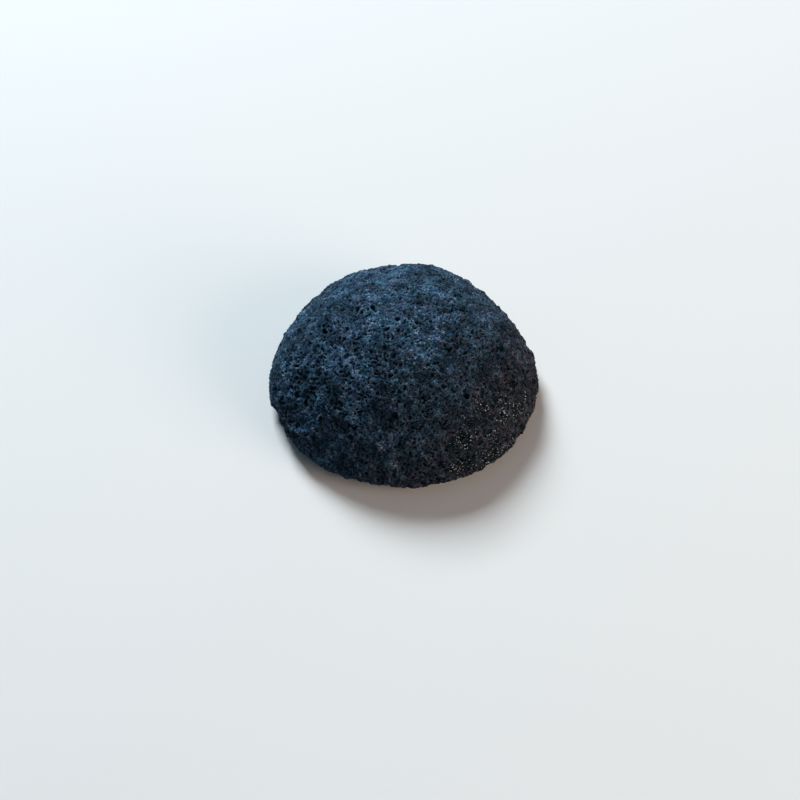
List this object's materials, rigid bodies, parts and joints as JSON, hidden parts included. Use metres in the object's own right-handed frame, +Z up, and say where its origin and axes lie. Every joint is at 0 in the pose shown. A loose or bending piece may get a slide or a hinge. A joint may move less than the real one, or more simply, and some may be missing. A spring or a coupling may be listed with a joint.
{
  "type": "konjac sponge",
  "caption": "Half-ball face sponge of black charcoal konjac foam, with an open-cell domed surface, a belly that turns under and a flat side to rest on.",
  "frame": {"origin": "middle of the flat side, on the surface that the sponge rests on", "axes": "+Z up through the crown, +X to the right and +Y away from the viewer as pictured"},
  "size_m": [0.0788, 0.078, 0.0363],
  "materials": {
    "charcoal_foam": "matte open-cell konjac foam, blue-black, with fine moist glints"
  },
  "bodies": {
    "root": {"sponge_body": "charcoal_foam"}
  },
  "joints": []
}
